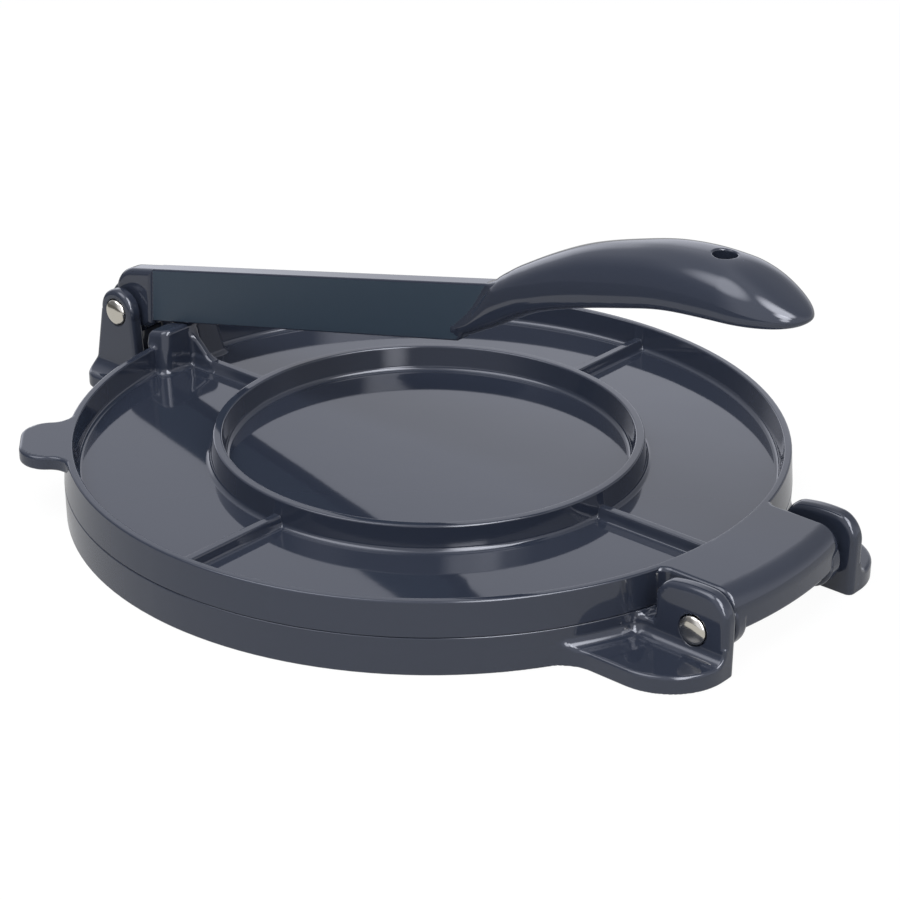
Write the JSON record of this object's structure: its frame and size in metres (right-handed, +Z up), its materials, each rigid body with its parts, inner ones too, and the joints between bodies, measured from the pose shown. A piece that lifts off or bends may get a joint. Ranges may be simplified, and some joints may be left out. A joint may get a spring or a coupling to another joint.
{
  "type": "tortilla press",
  "caption": "Round two-plate hand press with an enamelled finish: a hinged upper plate and a swinging lever whose grip presses it onto the base plate.",
  "frame": {"origin": "where the plates' common axis meets the table, on the crossing of the base plate's two lower ribs", "axes": "+X from the lever bracket towards the hinge, +Y along both pins, +Z up from the table"},
  "size_m": [0.2568, 0.2046, 0.0975],
  "materials": {
    "enamelled_casting": "gloss",
    "nickel_pin": "polished"
  },
  "bodies": {
    "base": {"base_plate": "enamelled_casting", "hinge_pin": "nickel_pin", "lever_pin": "nickel_pin"},
    "upper_plate": {"top_plate": "enamelled_casting"},
    "lever": {"lever": "enamelled_casting"}
  },
  "joints": [
    {"name": "lever_pivot", "type": "hinge", "parent": "base", "child": "lever", "pos_m": [-0.1203, 0, 0.0252], "axis": [0, -1, 0], "range_deg": [0, 165]},
    {"name": "top_plate_hinge", "type": "hinge", "parent": "base", "child": "upper_plate", "pos_m": [0.1138, 0, 0.0111], "axis": [0, 1, 0], "range_deg": [0, 110]}
  ],
  "couplings": [
    {"joint": "top_plate_hinge", "follows": "lever_pivot", "ratio": 0.1}
  ]
}
